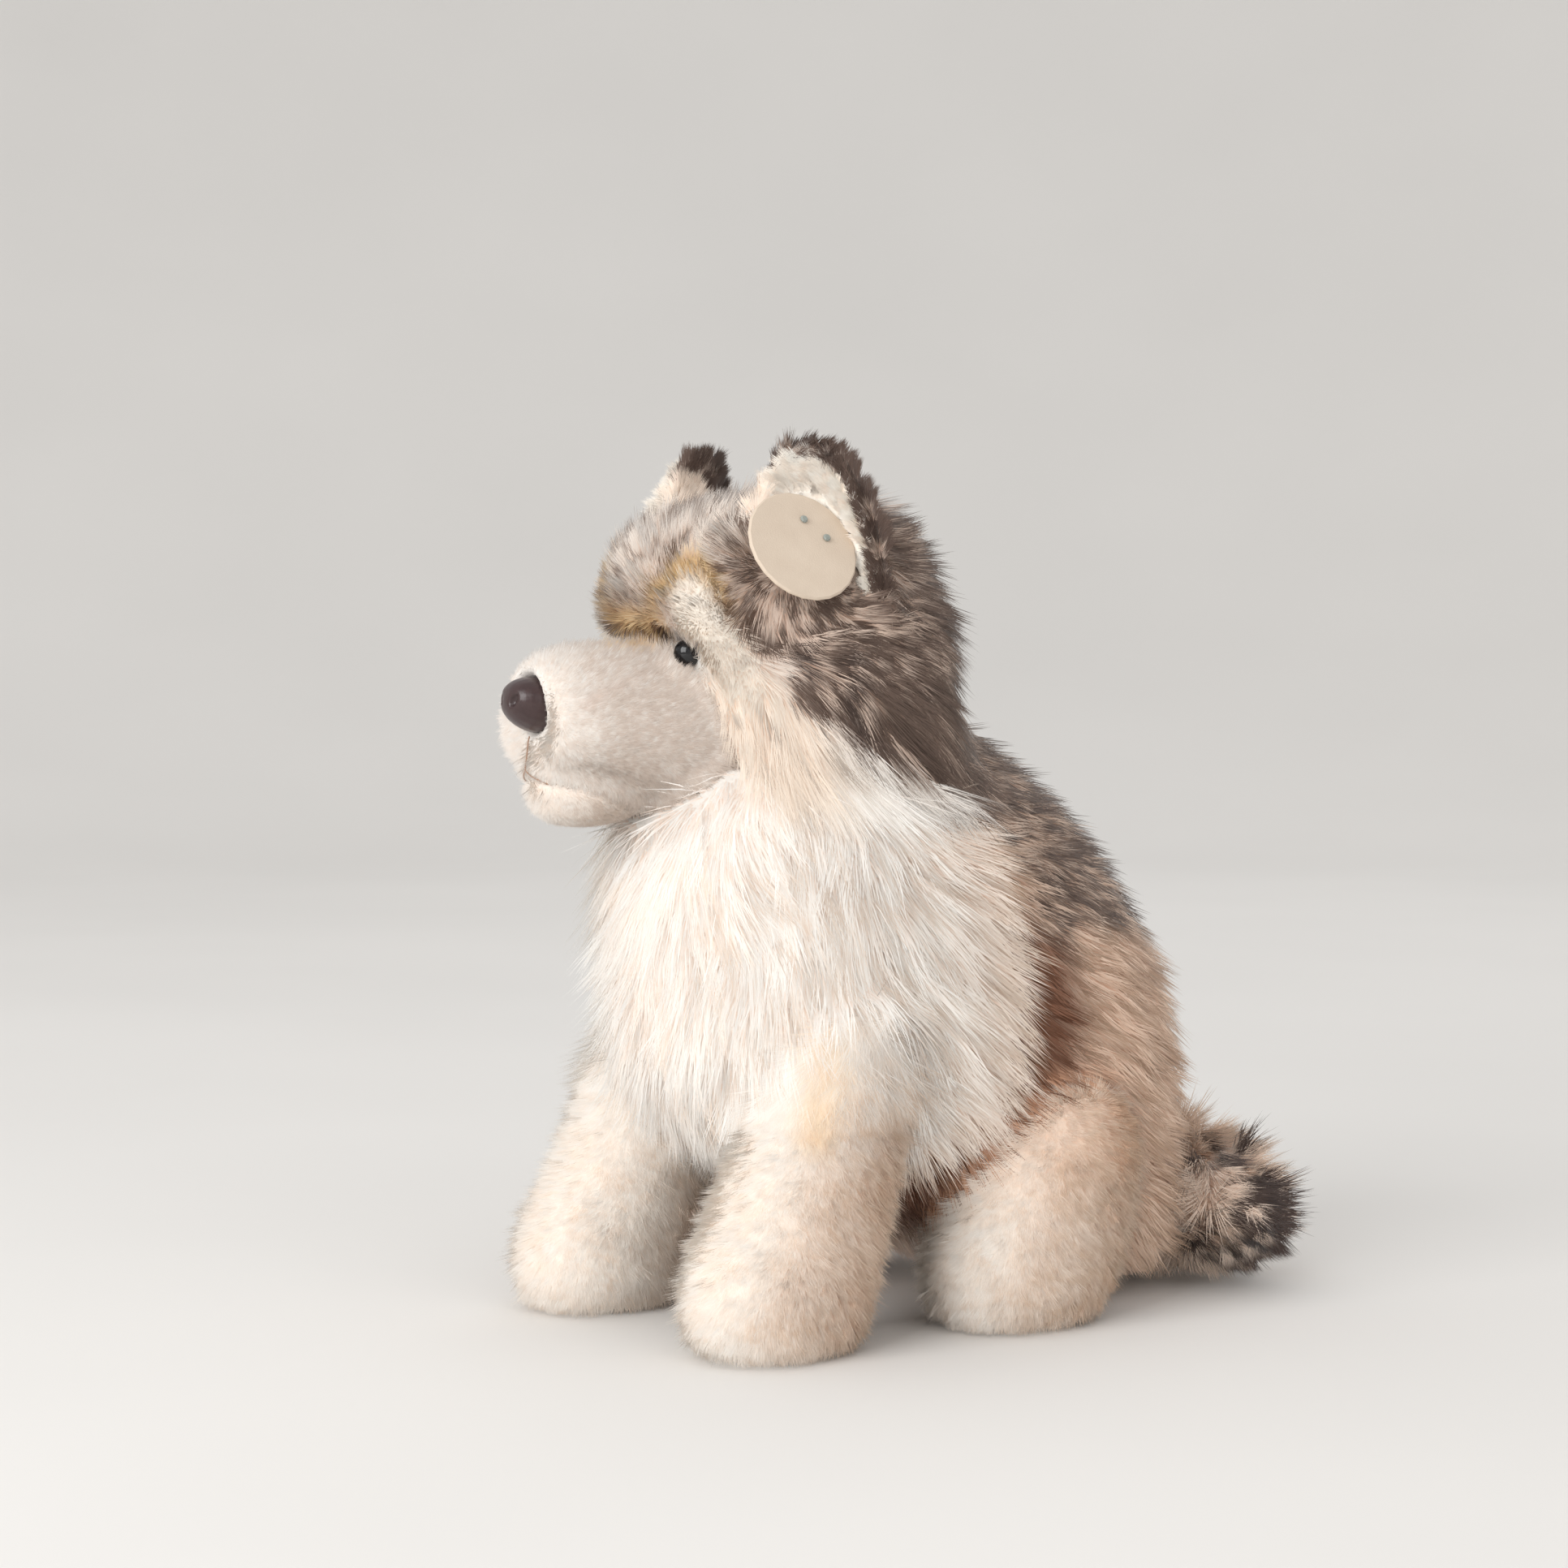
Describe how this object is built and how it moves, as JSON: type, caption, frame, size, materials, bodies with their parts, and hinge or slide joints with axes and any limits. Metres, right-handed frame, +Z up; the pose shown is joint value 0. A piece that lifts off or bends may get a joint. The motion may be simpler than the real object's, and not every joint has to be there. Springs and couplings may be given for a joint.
{
  "type": "plush wolf",
  "caption": "Sitting plush wolf, a sewn and stuffed soft toy with long mottled fur, upright ears, a moulded nose and eyes, and a blank disc tag on one ear.",
  "frame": {"origin": "middle of the bounding box, on the floor that the wolf sits on", "axes": "+Z up, the body faces -Y, the wolf's left side is +X"},
  "size_m": [0.1596, 0.2522, 0.2639],
  "materials": {
    "long_fur_cream": "long cream plush",
    "long_fur_grey": "long grey-brown plush",
    "short_pile_cream": "short cream plush",
    "short_pile_grey": "short grey-white plush",
    "ear_pile_cream": "short pale plush",
    "gloss_brown": "gloss",
    "gloss_black": "gloss",
    "washer_white": "plain",
    "tag_leather": "smooth, bare face",
    "pin_grey": "plain"
  },
  "bodies": {
    "root": {"torso": "long_fur_cream", "head": "long_fur_grey", "muzzle": "short_pile_grey", "lower_jaw": "short_pile_cream", "ear_left": "long_fur_grey", "ear_right": "long_fur_grey", "ear_lining_left": "ear_pile_cream", "ear_lining_right": "ear_pile_cream", "eye_left": "gloss_black", "eye_right": "gloss_black", "eye_washer_left": "washer_white", "eye_washer_right": "washer_white", "nose": "gloss_brown", "nose_washer": "washer_white", "front_leg_left": "short_pile_cream", "front_leg_right": "short_pile_cream", "hind_leg_left": "short_pile_cream", "hind_leg_right": "short_pile_cream", "tail": "long_fur_grey", "ear_tag": "tag_leather", "tag_pin_upper": "pin_grey", "tag_pin_lower": "pin_grey"}
  },
  "joints": []
}
